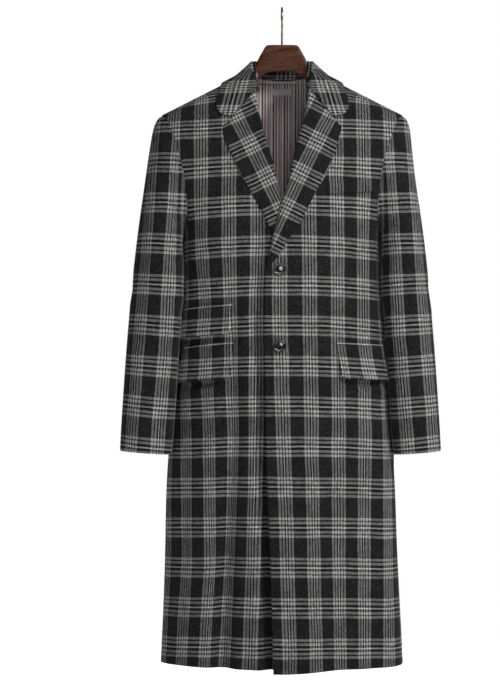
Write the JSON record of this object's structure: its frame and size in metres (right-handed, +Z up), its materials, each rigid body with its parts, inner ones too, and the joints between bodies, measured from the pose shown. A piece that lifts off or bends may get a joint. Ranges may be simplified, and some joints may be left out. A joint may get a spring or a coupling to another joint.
{
  "type": "wool overcoat on a wooden hanger",
  "caption": "Long single-breasted checked wool overcoat with notch lapels, flap pockets and welt pocket, hanging on a wooden hanger with a wire hook.",
  "frame": {"origin": "inside top of the hanger's hook, where a rail bears it", "axes": "+Z up, -Y the front of the coat, +X the viewer's right, which is the wearer's left"},
  "size_m": [0.624, 0.2285, 1.2828],
  "materials": {
    "coating": "napped wool melton in a large window check, charcoal ground with off-white and grey lines",
    "jet": "pale woven piping",
    "lining": "smooth striped twill",
    "tape": "white woven tape",
    "horn": "polished dark horn",
    "walnut": "satin walnut brown",
    "hook_metal": "polished pale brass wire"
  },
  "bodies": {
    "root": {"front_left": "coating", "front_right": "coating", "back_left": "coating", "back_right": "coating", "sleeve_left_top": "coating", "sleeve_left_under": "coating", "sleeve_right_top": "coating", "sleeve_right_under": "coating", "lapel_left": "coating", "lapel_right": "coating", "collar_leaf": "coating", "collar_stand": "coating", "flap_ticket": "coating", "flap_hip_left": "coating", "flap_hip_right": "coating", "welt_breast": "coating", "jet_ticket": "jet", "jet_hip_left": "jet", "jet_hip_right": "jet", "lining_back": "lining", "neck_tape": "tape", "label": "tape", "button_top": "horn", "button_bottom": "horn", "hanger_body": "walnut", "hanger_hook": "hook_metal"}
  },
  "joints": []
}
